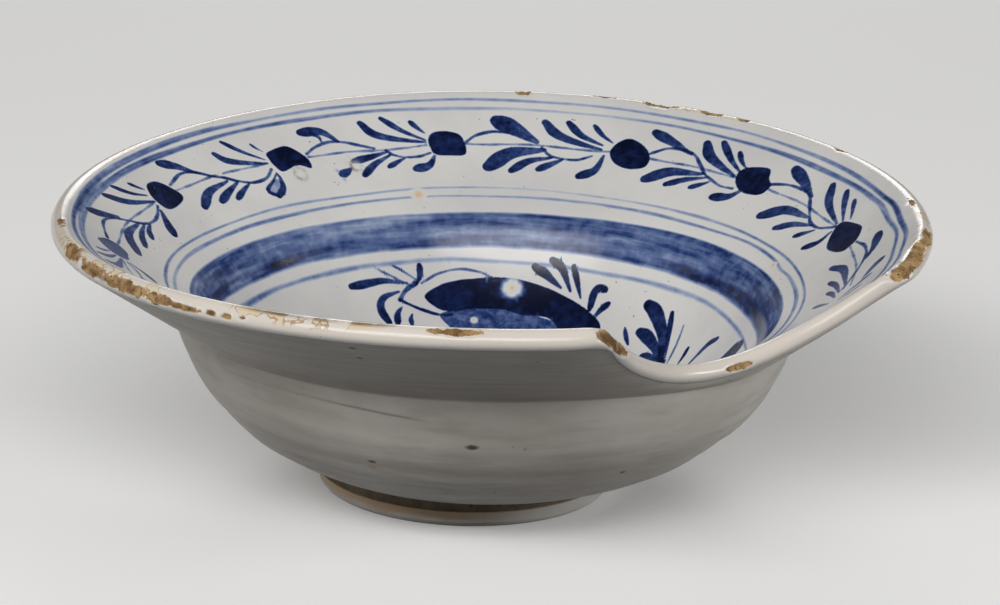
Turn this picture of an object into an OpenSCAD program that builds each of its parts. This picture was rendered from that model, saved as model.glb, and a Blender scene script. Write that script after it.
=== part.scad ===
// Barber bowl of tin-glazed earthenware: a deep well, a broad sloping flange and a neck notch.
// Millimetres, +Z up, the origin on the table under the bowl's own axis. The front is -Y.

/* [Rim and flange] */
// Outer radius of the rim
rim_radius = 130; // [122:1:140]
// Slope of the flange above the horizontal
flange_angle = 35; // [32:0.5:38]
// Thickness of the flange with its glaze, which the round lip takes over
flange_wall = 6.4; // [5.4:0.2:7]

/* [Well inside] */
// Height of the floor above the table
floor_height = 13.4; // [12.4:0.2:15]
// Radius of the flat middle of the floor
floor_flat_radius = 23.4; // [21:0.2:25]
// Radius of the hollow curve from the floor to the wall
well_round = 65; // [62:0.5:67]
// Steepest slope of the wall
wall_angle = 66; // [62:0.5:68]
// Radius of the shoulder between the wall and the flange
shoulder_round = 22; // [16:0.5:26]

/* [Well outside] */
// Height of the underside of the floor above the table
base_height = 8; // [6:0.2:9]
// Radius of the flat middle of the underside
base_flat_radius = 34.8; // [33:0.2:37]
// Radius of the curve from the underside to the crease below the flange
outer_well_round = 59.6; // [58:0.2:62]

/* [Foot ring] */
// Outer radius of the standing edge
foot_radius = 43; // [38:0.5:46]
// Radial width of the ring at the standing edge
foot_wall = 7; // [5:0.2:9]
// How far the outer wall leans out between the standing edge and the body
foot_flare = 2; // [0.4:0.2:4]
// Rounding of both standing edges
foot_round = 1.4; // [0.6:0.1:2]
// Sideways offset of the ring, which was luted on by eye
foot_shift = -5; // [-8:0.5:8]

/* [Neck notch] */
// Direction of the notch's middle, from the front towards +X
notch_angle = 40; // [20:1:60]
// Depth of the cut from the rim, along its middle
notch_depth = 36; // [26:0.5:36]
// Radius of the cut
notch_round = 84; // [70:1:100]
// Rounding of the two corners between the cut and the rim
corner_round = 9; // [6:0.5:14]
// How far the glaze roll stands out from the cut edge
roll_crown = 2; // [1.2:0.1:3]

/* [Glaze] */
// Thickness of the glaze coats
glaze = 0.6; // [0.4:0.1:1]
// Bare clay between the standing edge and the glaze band on the foot
foot_bare_below = 1.6; // [1.4:0.1:2.4]
// Height of the glaze band on the foot
foot_band = 3.4; // [2:0.2:4]
// Bare clay left around the foot's joint
joint_bare = 0.4; // [0.2:0.1:1]

/* [Hidden] */
$fn = 180;
clay_colour = "#b5956b";
white_glaze_colour = "#e9e7e0";
grey_glaze_colour = "#d6d2c8";
// Steps along the arcs of the section and of the notch roll
arc_steps = 20;
lip_steps = 12;
edge_steps = 4;
corner_steps = 8;
notch_steps = 44;
roll_steps = 8;
// Spare length of cutting shapes past the faces that they cut
past = 6;

// Points of an arc round a centre, between two polar angles
function arc(centre, radius, from, to, steps) =
    [for (i = [0:steps]) let (a = from + (to - from) * i / steps) centre + radius * [cos(a), sin(a)]];
function reversed(list) = [for (i = [len(list) - 1:-1:0]) list[i]];

// Centres of the section's arcs, as radius and height
well_centre = [floor_flat_radius, floor_height + well_round];
wall_top = well_centre + well_round * [sin(wall_angle), -cos(wall_angle)];
shoulder_centre = wall_top + shoulder_round * [sin(wall_angle), -cos(wall_angle)];
flange_start = shoulder_centre + shoulder_round * [-sin(flange_angle), cos(flange_angle)];
lip_round = flange_wall / 2;
lip_r = rim_radius - lip_round;
lip_z = flange_start[1] + (lip_r - flange_start[0]) * tan(flange_angle) - lip_round / cos(flange_angle);
lip_centre = [lip_r, lip_z];
outer_centre = [base_flat_radius, base_height + outer_well_round];

// Angle on the outer well's arc where the underside of the flange meets it, at a depth below the glaze
function crease_angle(depth) =
    let (normal = [sin(flange_angle), -cos(flange_angle)])
    let (reach = normal * (lip_centre - outer_centre) + lip_round - depth)
    flange_angle - 90 + acos(reach / (outer_well_round - depth));

// The section's surfaces, from the axis outwards inside, round the lip, and inwards below
function inside_path(depth) = concat(
    [[0, floor_height - depth]],
    arc(well_centre, well_round + depth, -90, wall_angle - 90, arc_steps),
    arc(shoulder_centre, shoulder_round - depth, wall_angle + 90, flange_angle + 90, arc_steps));
function lip_path(depth) =
    arc(lip_centre, lip_round - depth, flange_angle + 90, flange_angle - 90, lip_steps);
function outside_path(depth) = concat(
    [lip_centre + (lip_round - depth) * [sin(flange_angle), -cos(flange_angle)]],
    arc(outer_centre, outer_well_round - depth, crease_angle(depth), -90, arc_steps),
    [[0, base_height + depth]]);

// Heights of the flange's two finished faces at a radius, round the lip too
function flange_top(r) =
    r < lip_r - lip_round * sin(flange_angle)
    ? flange_start[1] + (r - flange_start[0]) * tan(flange_angle)
    : lip_z + sqrt(max(0, lip_round ^ 2 - (r - lip_r) ^ 2));
function flange_under(r) =
    r < lip_r + lip_round * sin(flange_angle)
    ? flange_start[1] + (r - flange_start[0]) * tan(flange_angle) - flange_wall / cos(flange_angle)
    : lip_z - sqrt(max(0, lip_round ^ 2 - (r - lip_r) ^ 2));

// The foot's top lies inside the body, and the body is then cut out of it
foot_reach = foot_radius + foot_flare + abs(foot_shift);
foot_top = outer_centre[1] - sqrt(outer_well_round ^ 2 - (foot_reach - base_flat_radius) ^ 2) + glaze + 1;
function foot_wall_radius(z) = foot_radius + foot_flare * (z - foot_round) / (foot_top - foot_round);

// The notch in its own plane: its middle lies along +X, and the corners are mirrored about it
clay_rim = rim_radius - glaze;
notch_centre = rim_radius - notch_depth + notch_round;
corner_r = clay_rim - corner_round;
corner_x = (corner_r ^ 2 + notch_centre ^ 2 - (notch_round + corner_round) ^ 2) / (2 * notch_centre);
corner_y = sqrt(corner_r ^ 2 - corner_x ^ 2);
corner_from = atan2(corner_y, corner_x);
corner_to = atan2(-corner_y, notch_centre - corner_x);
notch_turn = corner_to + 180;

// Points along the cut edge with the direction out of the clay: x, y, direction
function corner_edge(side) =
    [for (i = [0:corner_steps])
        let (a = corner_from + (corner_to - corner_from) * i / corner_steps)
        [corner_x + corner_round * cos(a), side * (corner_y + corner_round * sin(a)), side * a]];
notch_edge =
    [for (i = [1:notch_steps - 1])
        let (a = notch_turn + 2 * (180 - notch_turn) * i / notch_steps)
        [notch_centre + notch_round * cos(a), notch_round * sin(a), a - 180]];
cut_edge = concat(corner_edge(1), notch_edge, reversed(corner_edge(-1)));

// Half-round sections of the roll, whose flat backs lie on the cut edge
function roll_ring(p) =
    let (r = norm([p[0], p[1]]))
    let (half = (flange_top(r) - flange_under(r)) / 2)
    let (middle = (flange_top(r) + flange_under(r)) / 2)
    let (crown = roll_crown * min(1, half / lip_round))
    [for (j = [0:roll_steps])
        let (t = 180 * j / roll_steps)
        let (out = crown * sin(t))
        [p[0] + out * cos(p[2]), p[1] + out * sin(p[2]), middle - half * cos(t)]];
roll_points = [for (p = cut_edge) each roll_ring(p)];
ring = roll_steps + 1;
last_ring = (len(cut_edge) - 1) * ring;
roll_sides =
    [for (i = [0:len(cut_edge) - 2], j = [0:roll_steps])
        let (a = i * ring + j)
        let (b = i * ring + (j + 1) % ring)
        each [[a, b + ring, b], [a, a + ring, b + ring]]];
roll_ends =
    [for (j = [1:roll_steps - 1])
        each [[0, j, j + 1], [last_ring, last_ring + j + 1, last_ring + j]]];

module revolved(points) {
    rotate_extrude() polygon(points);
}

// One corner to take off between the cut and the rim, outside its rounding
module corner_waste() {
    to_rim = (corner_round + past) * [cos(corner_from), sin(corner_from)];
    to_notch = (corner_round + past) * [cos(corner_to), sin(corner_to)];
    translate([corner_x, corner_y])
        difference() {
            polygon([[0, 0], to_notch, to_notch + to_rim, to_rim]);
            circle(corner_round);
        }
}

module notch_plan() {
    translate([notch_centre, 0]) circle(notch_round);
    corner_waste();
    mirror([0, 1]) corner_waste();
}

module at_notch() {
    rotate([0, 0, notch_angle - 90]) children();
}

module notch_cut() {
    low = flange_under(rim_radius - notch_depth) - past;
    high = lip_z + lip_round + past;
    at_notch() translate([0, 0, low]) linear_extrude(high - low) notch_plan();
}

module at_foot() {
    translate([foot_shift, 0, 0]) children();
}

module underside_coat() {
    revolved(concat(outside_path(0), reversed(outside_path(glaze))));
}

// Thrown and turned bowl of buff clay, with the notch cut out of its flange
module clay_body() {
    color(clay_colour)
        difference() {
            revolved(concat(inside_path(glaze), lip_path(glaze), outside_path(glaze)));
            notch_cut();
        }
}

// Ring of the same clay luted under the bowl
module foot_ring() {
    inner_radius = foot_radius - foot_wall;
    color(clay_colour)
        difference() {
            at_foot() revolved(concat(
                arc([foot_radius - foot_round, foot_round], foot_round, 0, -90, edge_steps),
                arc([inner_radius + foot_round, foot_round], foot_round, -90, -180, edge_steps),
                [[inner_radius, foot_top], [foot_radius + foot_flare, foot_top]]));
            revolved(concat(outside_path(glaze), [[0, lip_z], [lip_r, lip_z]]));
        }
}

// White tin glaze on the inside and over the lip, the ground for the painting
module inside_glaze() {
    color(white_glaze_colour)
        difference() {
            revolved(concat(
                inside_path(0), lip_path(0), reversed(lip_path(glaze)), reversed(inside_path(glaze))));
            notch_cut();
        }
}

// Greyer glaze below the lip, down to the foot's joint
module outside_glaze() {
    color(grey_glaze_colour)
        difference() {
            underside_coat();
            notch_cut();
            at_foot() cylinder(h = foot_top + past, r = foot_radius + foot_flare + joint_bare);
        }
}

// Roll of glaze along the cut edge of the notch
module notch_glaze() {
    color(white_glaze_colour)
        at_notch() polyhedron(roll_points, concat(roll_sides, roll_ends));
}

// Band of glaze round the foot's outer wall
module foot_glaze() {
    low = foot_bare_below;
    high = foot_bare_below + foot_band;
    color(white_glaze_colour)
        at_foot() revolved([
            [foot_wall_radius(low), low],
            [foot_wall_radius(low) + glaze, low],
            [foot_wall_radius(high) + glaze, high],
            [foot_wall_radius(high), high]]);
}

// Glaze on the underside within the foot ring
module base_glaze() {
    color(grey_glaze_colour)
        intersection() {
            underside_coat();
            at_foot() cylinder(h = foot_top + past, r = foot_radius - foot_wall - joint_bare);
        }
}

clay_body();
foot_ring();
inside_glaze();
outside_glaze();
notch_glaze();
foot_glaze();
base_glaze();
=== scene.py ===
import math

import bpy
import numpy as np
from mathutils import Matrix, Vector
from mathutils.geometry import delaunay_2d_cdt


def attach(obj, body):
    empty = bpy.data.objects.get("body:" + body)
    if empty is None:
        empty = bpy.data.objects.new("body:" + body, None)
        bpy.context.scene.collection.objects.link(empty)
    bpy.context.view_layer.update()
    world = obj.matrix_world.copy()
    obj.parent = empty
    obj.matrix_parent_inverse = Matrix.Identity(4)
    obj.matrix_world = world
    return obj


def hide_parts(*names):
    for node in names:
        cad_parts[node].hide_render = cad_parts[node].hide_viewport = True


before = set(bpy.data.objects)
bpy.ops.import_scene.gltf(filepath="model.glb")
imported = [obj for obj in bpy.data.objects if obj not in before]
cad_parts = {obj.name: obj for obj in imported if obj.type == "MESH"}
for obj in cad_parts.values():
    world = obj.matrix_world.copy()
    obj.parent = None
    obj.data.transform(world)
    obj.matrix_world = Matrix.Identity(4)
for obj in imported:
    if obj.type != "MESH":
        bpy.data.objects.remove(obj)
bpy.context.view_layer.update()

# Camera
# A long lens looks down on the bowl at about 17 degrees from the front, a little rolled to one side.
view_target = Vector((0.00414, 0, 0.05588))
view_distance = 1.4882
view_rise = math.radians(17.17)
view_roll = math.radians(1.68)
camera_lens = bpy.data.cameras.new("camera")
camera_lens.sensor_width = 36
camera_lens.lens = 180
camera = bpy.data.objects.new("camera", camera_lens)
bpy.context.scene.collection.objects.link(camera)
camera.location = view_target + view_distance * Vector((0, -math.cos(view_rise), math.sin(view_rise)))
camera_turn = Matrix.Rotation(math.pi / 2 - view_rise, 3, "X") @ Matrix.Rotation(view_roll, 3, "Z")
camera.rotation_euler = camera_turn.to_euler()
bpy.context.scene.camera = camera
bpy.context.scene.view_settings.view_transform = "Standard"

# Clay body
# A bowl of buff earthenware, thrown on the wheel and turned, with the neck notch cut out of its
# flange while the clay was soft. Drying and firing have pulled it a little out of round. The glaze
# covers it, and its colour shows where the lip is chipped. Sizes are in millimetres.
MM = 0.001
rim_radius = 130.0
flange_slope = math.radians(35)
flange_wall = 6.4
lip_round = flange_wall / 2
floor_height = 13.4
floor_flat = 23.4
well_round = 65.0
wall_slope = math.radians(66)
shoulder_round = 22.0
base_height = 8.0
base_flat = 34.8
outer_round = 59.6
flange_inner = 88.0
coat = 0.6

well_middle = floor_height + well_round
wall_top = (floor_flat + well_round * math.sin(wall_slope), well_middle - well_round * math.cos(wall_slope))
shoulder = (wall_top[0] + shoulder_round * math.sin(wall_slope),
            wall_top[1] - shoulder_round * math.cos(wall_slope))
flange_start = (shoulder[0] - shoulder_round * math.sin(flange_slope),
                shoulder[1] + shoulder_round * math.cos(flange_slope))
outer_middle = base_height + outer_round
under_drop = flange_wall / math.cos(flange_slope)
flange_gap = (math.sin(flange_slope) * (flange_start[0] - base_flat)
              - math.cos(flange_slope) * (flange_start[1] - outer_middle) + flange_wall)
crease_turn = flange_slope - math.pi / 2 + math.acos(flange_gap / outer_round)
crease_radius = base_flat + outer_round * math.cos(crease_turn)


def smooth(low, high, value):
    share = np.clip((value - low) / (high - low), 0, 1)
    return share * share * (3 - 2 * share)


def inside_height(r):
    well = well_middle - np.sqrt(np.maximum(well_round ** 2 - (r - floor_flat) ** 2, 0))
    rounded = shoulder[1] + np.sqrt(np.maximum(shoulder_round ** 2 - (r - shoulder[0]) ** 2, 0))
    flange = flange_start[1] + (r - flange_start[0]) * math.tan(flange_slope)
    return np.select([r < floor_flat, r < wall_top[0], r < flange_start[0]],
                     [np.full_like(r, floor_height), well, rounded], flange)


def outside_height(r):
    well = outer_middle - np.sqrt(np.maximum(outer_round ** 2 - (r - base_flat) ** 2, 0))
    flange = flange_start[1] + (r - flange_start[0]) * math.tan(flange_slope) - under_drop
    return np.select([r < base_flat, r < crease_radius], [np.full_like(r, base_height), well], flange)


# How far drying and firing have moved the form up or down at a place in plan: the rim has lifted at
# the front and back, dropped at the sides, leans to one side and sags beside the notch
rim_lift = 1.6
side_droop = 3.1
lean = math.radians(0.56)
sag = 3.4
sag_from_front = 58.0
sag_spread = 26.0
sag_start = 70.0
sag_full = 95.0
sag_ease = 0.45
sag_ease_start = 112.0


def settled(x, y):
    r = np.hypot(x, y) + 1e-6
    rim_share = np.clip((r - flange_inner) / (rim_radius - flange_inner), 0, 1)
    ease = sag_ease * np.clip((r - sag_ease_start) / (rim_radius - sag_ease_start), 0, 1)
    from_front = np.degrees(np.arctan2(x, -y))
    sag_share = smooth(sag_start, sag_full, r) * (1 - ease)
    return (rim_lift * rim_share - side_droop * rim_share * (x / r) ** 2
            + math.tan(lean) * x * np.clip(r / rim_radius, 0, 1)
            - sag * np.exp(-((from_front - sag_from_front) / sag_spread) ** 2) * sag_share)


# The finished edge in plan, from the middle of the notch all the way round: the cut, its two rounded
# corners and the rim, as points with the direction out of the clay
notch_heading = math.radians(-48.2)
notch_middle = 188.0
notch_round = 91.0
rim_shift = 1.1
right_corner = 8.7
left_corner = 12.7
edge_step = 0.2


# A corner's middle, and its direction from the middle of the bowl and from the middle of the cut
def rounded_corner(radius):
    reach = rim_radius - radius
    x = (reach ** 2 + notch_middle ** 2 - (notch_round + radius) ** 2) / (2 * notch_middle)
    y = math.sqrt(reach ** 2 - x ** 2)
    return x, y, math.atan2(y, x), math.atan2(y, notch_middle - x)


right_x, right_y, right_rim, right_cut = rounded_corner(right_corner)
left_x, left_y, left_rim, left_cut = rounded_corner(left_corner)


def edge_arc(centre, radius, start, stop, outward):
    turn = np.linspace(start, stop, 2 + int(abs(stop - start) * radius / edge_step))
    heading = np.stack([np.cos(turn), np.sin(turn)], 1)
    return np.hstack([np.array(centre) + radius * heading, outward * heading])


edge_arcs = [
    edge_arc((notch_middle, 0), notch_round, math.pi, math.pi - right_cut, -1),
    edge_arc((right_x, right_y), right_corner, -right_cut, right_rim, 1),
    edge_arc((0, 0), rim_radius, right_rim, 2 * math.pi - left_rim, 1),
    edge_arc((left_x, -left_y), left_corner, -left_rim, left_cut, 1),
    edge_arc((notch_middle, 0), notch_round, math.pi + left_cut, math.pi, -1)]
edge_points = np.vstack(edge_arcs)
edge_steps = np.hypot(*np.diff(edge_points[:, :2], axis=0).T)
edge_lengths = np.concatenate([[0], np.cumsum(edge_steps)])
edge_length = edge_lengths[-1]
rim_start = notch_round * right_cut + right_corner * (right_cut + right_rim)
notch_turn = np.array([[math.cos(notch_heading), math.sin(notch_heading)],
                       [-math.sin(notch_heading), math.cos(notch_heading)]])
edge_points = np.hstack([edge_points[:, :2] @ notch_turn, edge_points[:, 2:] @ notch_turn])
edge_points[:, 0] += rim_shift * smooth(-80, -10, edge_points[:, 1])


def edge_at(along):
    return np.stack([np.interp(along, edge_lengths, column) for column in edge_points.T], 1)


# The round lip is a little thinner along the cut than round the rim
cut_lip = 2.75
lip_flatness = 2.4


def lip_radius(along):
    from_middle = np.minimum(along % edge_length, -along % edge_length)
    return cut_lip + (lip_round - cut_lip) * smooth(rim_start - 12, rim_start + 8, from_middle)


# The lip over the edge: its middle line, the way out of the flange's face, the way past the edge and the
# same way in plan
def lip_frame(along):
    edge = edge_at(along)
    out = edge[:, 2:] / np.linalg.norm(edge[:, 2:], axis=1, keepdims=True)
    radius = lip_radius(along)[:, None]
    middle = edge[:, :2] - radius * out
    spoke = middle / np.linalg.norm(middle, axis=1, keepdims=True)
    face = np.column_stack([-math.sin(flange_slope) * spoke, np.full(len(along), math.cos(flange_slope))])
    past = np.column_stack([out, np.zeros(len(along))])
    past = past - np.sum(past * face, axis=1, keepdims=True) * face
    past = past / np.linalg.norm(past, axis=1, keepdims=True)
    top = middle + radius * face[:, :2]
    top_height = inside_height(np.hypot(*top.T)) + settled(*top.T)
    centre = np.column_stack([middle, top_height - radius[:, 0] * face[:, 2]])
    return centre, face, past, out


def lip_row(along, turn, depth):
    centre, face, past, _ = lip_frame(along)
    up = math.cos(turn)
    over = math.sin(turn)
    square = (abs(up) ** lip_flatness + abs(over) ** lip_flatness) ** (-1 / lip_flatness)
    reach = square * (lip_radius(along) - depth)[:, None]
    return centre + reach * (up * face + over * past)


def circle_plan(along, radius):
    centre = lip_frame(along)[0]
    spoke = centre[:, :2] / np.hypot(centre[:, 0], centre[:, 1])[:, None]
    return radius * spoke


# Rows of the flange, at shares of the way from a circle to the row at its edge, and rows of the well. They
# lie a depth inside the clay: below the inside and above the underside, which thins towards the cut.
def flange_rows(along, edge_row, inner_radius, shares, depth, height_at=inside_height, side=-1):
    rows = []
    for share in shares:
        plan = (1 - share) * circle_plan(along, inner_radius) + share * edge_row[:, :2]
        thinner = 2 * (lip_round - lip_radius(along)) * share ** 3 * (side > 0)
        sunk = side * (depth + thinner) / math.cos(flange_slope)
        rows.append(np.column_stack([plan, height_at(np.hypot(*plan.T)) + settled(*plan.T) + sunk]))
    return rows


def well_rows(along, radii, depth, height_at=inside_height, side=-1):
    rows = []
    for radius in radii:
        plan = circle_plan(along, radius)
        r = np.full(len(along), radius)
        steepness = (height_at(r + 0.1) - height_at(r - 0.1)) / 0.2
        sunk = side * depth * np.sqrt(1 + steepness ** 2)
        rows.append(np.column_stack([plan, height_at(r) + settled(*plan.T) + sunk]))
    return rows


underside = (outside_height, 1)
seam_gap = 0.000004


# Faces are turned outwards and shaded smooth, after points closer than a gap are merged
def close_up(piece, gap=0.0):
    bpy.ops.object.select_all(action="DESELECT")
    piece.select_set(True)
    bpy.context.view_layer.objects.active = piece
    bpy.ops.object.mode_set(mode="EDIT")
    bpy.ops.mesh.select_all(action="SELECT")
    if gap > 0:
        bpy.ops.mesh.remove_doubles(threshold=gap)
    bpy.ops.mesh.normals_make_consistent(inside=False)
    bpy.ops.object.mode_set(mode="OBJECT")
    bpy.ops.object.shade_smooth()


# A sheet of faces is wrapped into a ring of rows, then its seam, ends and poles are closed
def wrapped_sheet(name, rows):
    points = np.array(rows)
    row_count, column_count = points.shape[:2]
    bpy.ops.object.select_all(action="DESELECT")
    bpy.ops.mesh.primitive_grid_add(x_subdivisions=column_count, y_subdivisions=row_count - 1, size=1,
                                    location=(0.5, 0.5, 0))
    piece = bpy.context.object
    piece.name = name
    bpy.ops.object.transform_apply(location=True, rotation=True, scale=True)
    flat = np.zeros(len(piece.data.vertices) * 3)
    piece.data.vertices.foreach_get("co", flat)
    flat = flat.reshape(-1, 3)
    column = np.rint(flat[:, 0] * column_count).astype(int) % column_count
    row = np.rint(flat[:, 1] * (row_count - 1)).astype(int)
    piece.data.vertices.foreach_set("co", (points[row, column] * MM).ravel())
    close_up(piece, seam_gap)
    return piece


lip_back = 2.1
body_count = 274
body_columns = np.arange(body_count) * edge_length / body_count
body_top = lip_row(body_columns, 0, lip_back)
body_under = lip_row(body_columns, math.pi, lip_back)
body_shares = [0, 0.2, 0.4, 0.6, 0.8, 0.95]
body_rows = well_rows(body_columns, [0, 12, 23, 32, 42, 52, 60, 67, 73, 78, 82, 85], coat)
body_rows += flange_rows(body_columns, body_top, flange_inner, body_shares, coat)
body_rows += [lip_row(body_columns, math.radians(turn), lip_back) for turn in range(0, 181, 30)]
body_rows += flange_rows(body_columns, body_under, crease_radius, body_shares[::-1], coat, *underside)
body_rows += well_rows(body_columns, [92, 90, 86, 81, 75, 68, 60, 51, 42, 34, 20, 0], coat, *underside)
clay_core = wrapped_sheet("clay_core", body_rows)


def srgb(red, green, blue):
    linear = [((c / 255 + 0.055) / 1.055) ** 2.4 if c > 10 else c / 255 / 12.92 for c in (red, green, blue)]
    return (*linear, 1)


# A value goes into a socket: a link if it comes from another node, or else a plain setting
def plug(tree, socket, value):
    if isinstance(value, bpy.types.NodeSocket):
        tree.links.new(value, socket)
    else:
        socket.default_value = value


# A node is placed with its settings and its inputs, by name or as i and a number
def place(tree, kind, settings=None, **inputs):
    node = tree.nodes.new(kind)
    for name, value in (settings or {}).items():
        setattr(node, name, value)
    for name, value in inputs.items():
        numbered = name[0] == "i" and name[1:].isdigit()
        plug(tree, node.inputs[int(name[1:])] if numbered else node.inputs[name], value)
    return node


def place_group(tree, group, **inputs):
    return place(tree, "ShaderNodeGroup", {"node_tree": group}, **inputs)


def object_place(tree):
    return place(tree, "ShaderNodeTexCoord").outputs["Object"]


def math_node(tree, operation, first, second=0.0, third=0.0, clamp=False):
    settings = {"operation": operation, "use_clamp": clamp}
    return place(tree, "ShaderNodeMath", settings, i0=first, i1=second, i2=third).outputs[0]


def times(tree, first, second):
    return math_node(tree, "MULTIPLY", first, second)


def plus(tree, first, second):
    return math_node(tree, "ADD", first, second)


def minus(tree, first, second):
    return math_node(tree, "SUBTRACT", first, second)


def stretched(tree, value, factor, offset):
    return math_node(tree, "MULTIPLY_ADD", value, factor, offset)


def blend_colours(tree, share, first, second):
    settings = {"data_type": "RGBA", "blend_type": "MIX"}
    return place(tree, "ShaderNodeMix", settings, i0=share, i6=first, i7=second).outputs[2]


# A colour lies over another as far as a mask and its strength let it
def laid_over(tree, below, colour, mask, strength):
    return blend_colours(tree, times(tree, mask, strength), below, colour)


def ramp(tree, value, low, high):
    settings = {"interpolation_type": "SMOOTHSTEP"}
    return place(tree, "ShaderNodeMapRange", settings, i0=value, i1=low, i2=high).outputs[0]


def noise(tree, coordinates, scale, detail=3.0, roughness=0.55):
    node = place(tree, "ShaderNodeTexNoise", None, Vector=coordinates, Scale=scale, Detail=detail,
                 Roughness=roughness)
    return node.outputs["Fac"]


def new_group(name, colours_in, colours_out, values_out):
    tree = bpy.data.node_groups.new(name, "ShaderNodeTree")
    for labels, way, kind in ((colours_in, "INPUT", "NodeSocketColor"),
                              (colours_out, "OUTPUT", "NodeSocketColor"),
                              (values_out, "OUTPUT", "NodeSocketFloat")):
        for label in labels:
            tree.interface.new_socket(name=label, in_out=way, socket_type=kind)
    return tree, tree.nodes.new("NodeGroupInput"), tree.nodes.new("NodeGroupOutput")


def new_material(name):
    material = bpy.data.materials.new(name)
    material.use_nodes = True
    tree = material.node_tree
    return material, tree, tree.nodes["Principled BSDF"]


# The colour, the roughness and the fine relief go into a material's shader
def finish_shader(tree, shader, colour, roughness, height, strength, distance=0.0003):
    bump = place(tree, "ShaderNodeBump", None, Strength=strength, Distance=distance, Height=height)
    tree.links.new(colour, shader.inputs["Base Color"])
    tree.links.new(bump.outputs["Normal"], shader.inputs["Normal"])
    plug(tree, shader.inputs["Roughness"], roughness)


# Broken buff clay: sandy grains, iron specks and darker dirt in the hollows
clay_group, clay_in, clay_out = new_group("bare_clay", ["Pale", "Dark"], ["Colour"], ["Height"])
clay_place = object_place(clay_group)
clay_patches = ramp(clay_group, noise(clay_group, clay_place, 210, 5, 0.65), 0.36, 0.66)
clay_grains = noise(clay_group, clay_place, 1500, 2, 0.6)
clay_colour = blend_colours(clay_group, clay_patches, clay_in.outputs["Pale"], clay_in.outputs["Dark"])
iron_specks = ramp(clay_group, noise(clay_group, clay_place, 900, 1), 0.66, 0.72)
clay_colour = blend_colours(clay_group, iron_specks, clay_colour, srgb(70, 44, 26))
clay_height = plus(clay_group, clay_grains, clay_patches)
clay_group.links.new(clay_colour, clay_out.inputs["Colour"])
clay_group.links.new(clay_height, clay_out.inputs["Height"])

pale_clay = srgb(190, 156, 108)
dark_clay = srgb(114, 82, 48)
clay_material, clay_tree, clay_shader = new_material("fired_clay")
clay_look = place_group(clay_tree, clay_group, Pale=pale_clay, Dark=dark_clay)
finish_shader(clay_tree, clay_shader, clay_look.outputs["Colour"], 0.9, clay_look.outputs["Height"], 0.5,
              0.0004)
clay_core.data.materials.append(clay_material)
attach(clay_core, "root")
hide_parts("clay_body")

# Foot ring
# A low ring of the same clay, luted under the bowl by eye. It is bare on its standing edge and in
# the joint, where the glaze was wiped away before the firing and dirt has gathered since; the joint's
# dark colour is partly that dirt and partly painted shade. Between them, glaze has splashed it.
ring_material, ring_tree, ring_shader = new_material("wiped_clay")
ring_look = place_group(ring_tree, clay_group, Pale=srgb(196, 177, 146), Dark=srgb(150, 127, 97))
ring_height = place(ring_tree, "ShaderNodeSeparateXYZ", None, i0=object_place(ring_tree)).outputs[2]
splashed = times(ring_tree, ramp(ring_tree, ring_height, 0.0001, 0.0006),
                 minus(ring_tree, 1.0, ramp(ring_tree, ring_height, 0.002, 0.003)))
ring_colour = blend_colours(ring_tree, splashed, ring_look.outputs["Colour"], srgb(222, 217, 209))
# The joint is painted dark: dirt, and painted shade where the bowl overhangs the ring
joint_dirt_and_shade = ramp(ring_tree, ring_height, 0.003, 0.005)
ring_colour = laid_over(ring_tree, ring_colour, srgb(92, 84, 72), joint_dirt_and_shade, 0.7)
finish_shader(ring_tree, ring_shader, ring_colour, 0.75, ring_look.outputs["Height"], 0.4)


def dress(node_name, material):
    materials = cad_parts[node_name].data.materials
    materials.clear()
    materials.append(material)


dress("foot_ring", ring_material)

# Painted inside
# The white tin glaze of the inside, which runs on over the lip and in a thick roll along the cut of
# the notch. A border of flowers and leaves, rings, a broad band and a fruit between sprays are painted
# in cobalt on the raw glaze and have melted into it. The mesh follows the outline of each brush stroke.
columns = 960
along_edge = np.arange(columns) * edge_length / columns
lip_top = lip_row(along_edge, 0, 0)
lip_out = lip_frame(along_edge)[3]
lip_turns = np.radians(np.arange(12, 181, 12))


def sheet_height(plan):
    return inside_height(np.hypot(*plan.T)) + settled(*plan.T)


sheet_edge = lip_top[:, :2]
edge_bearing = np.unwrap(np.arctan2(sheet_edge[:, 1], sheet_edge[:, 0]))
edge_reach = np.hypot(*sheet_edge.T)


def within_sheet(plan, margin):
    bearing = np.arctan2(plan[:, 1], plan[:, 0])
    bearing = edge_bearing[0] + (bearing - edge_bearing[0]) % (2 * math.pi)
    reach = np.interp(bearing, np.append(edge_bearing, edge_bearing[0] + 2 * math.pi),
                      np.append(edge_reach, edge_reach[0]))
    return np.hypot(*plan.T) < reach - margin


# Brush strokes are kept as lines with a half width and a load of pigment. A place on the border is an
# angle clockwise from the back and a radius, and a place on the floor is x and y.
strokes = []
bleed_out = 0.26
bleed_in = 0.2
ring_bleed = 0.34


def on_border(places):
    places = np.array(places, float)
    turn = np.radians(places[:, 0])
    return np.column_stack([places[:, 1] * np.sin(turn), places[:, 1] * np.cos(turn)])


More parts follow.
